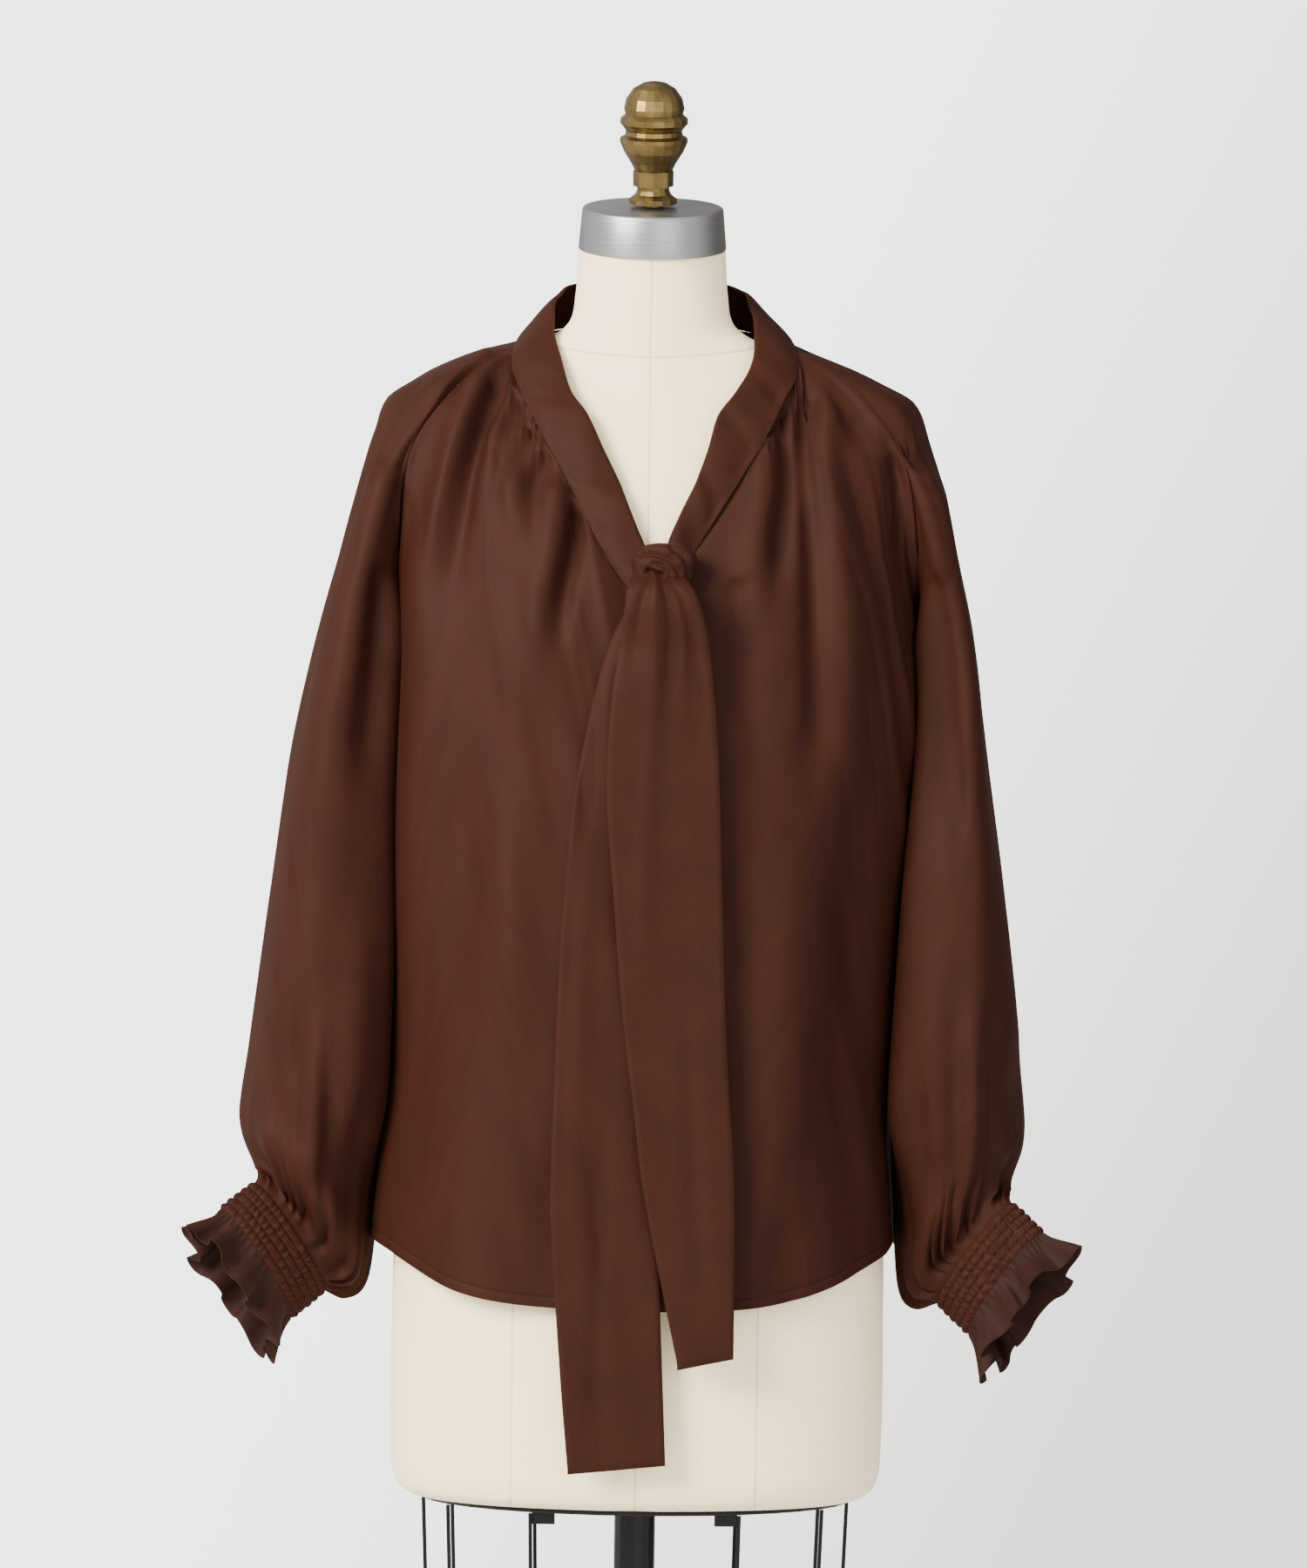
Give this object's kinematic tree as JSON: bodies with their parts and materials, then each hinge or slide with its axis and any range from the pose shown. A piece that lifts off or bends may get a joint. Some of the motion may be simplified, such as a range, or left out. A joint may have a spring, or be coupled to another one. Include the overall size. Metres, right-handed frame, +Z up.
{
  "type": "tie-neck blouse on a dress form",
  "caption": "Loose tie-neck blouse with gathered raglan bishop sleeves and ruffled cuffs, worn by a limbless dress form on a pole stand.",
  "frame": {"origin": "on the floor, at the middle of the round base, under the pole", "axes": "+Z up along the pole, the front of the blouse faces -Y, +X to the right seen from the front"},
  "size_m": [0.6257, 0.37, 1.5855],
  "materials": {
    "satin": "dark brown crepe-back satin, soft sheen",
    "ruffle": "single dark brown satin, slightly sheer",
    "linen": "natural linen cover, matt",
    "aluminium": "brushed",
    "brass": "satin, slightly aged",
    "black_enamel": "gloss black enamel"
  },
  "bodies": {
    "root": {"front": "satin", "back": "satin", "sleeve_left": "satin", "sleeve_right": "satin", "cuff_left": "satin", "cuff_right": "satin", "ruffle_left": "ruffle", "ruffle_right": "ruffle", "neckband": "satin", "tie_knot": "satin", "tie_tail_front": "satin", "tie_tail_back": "satin", "form_torso": "linen", "neck_cap": "aluminium", "finial_foot": "brass", "finial_nut": "brass", "finial_knob": "brass", "pole": "black_enamel", "base": "black_enamel", "cage_hoop_top": "black_enamel", "cage_hoop_bottom": "black_enamel", "cage_clip_left": "black_enamel", "cage_clip_right": "black_enamel", "cage_wire_1": "black_enamel", "cage_wire_2": "black_enamel", "cage_wire_3": "black_enamel", "cage_wire_4": "black_enamel", "cage_wire_5": "black_enamel", "cage_wire_6": "black_enamel", "cage_wire_7": "black_enamel", "cage_wire_8": "black_enamel", "cage_wire_9": "black_enamel", "cage_wire_10": "black_enamel"}
  },
  "joints": []
}
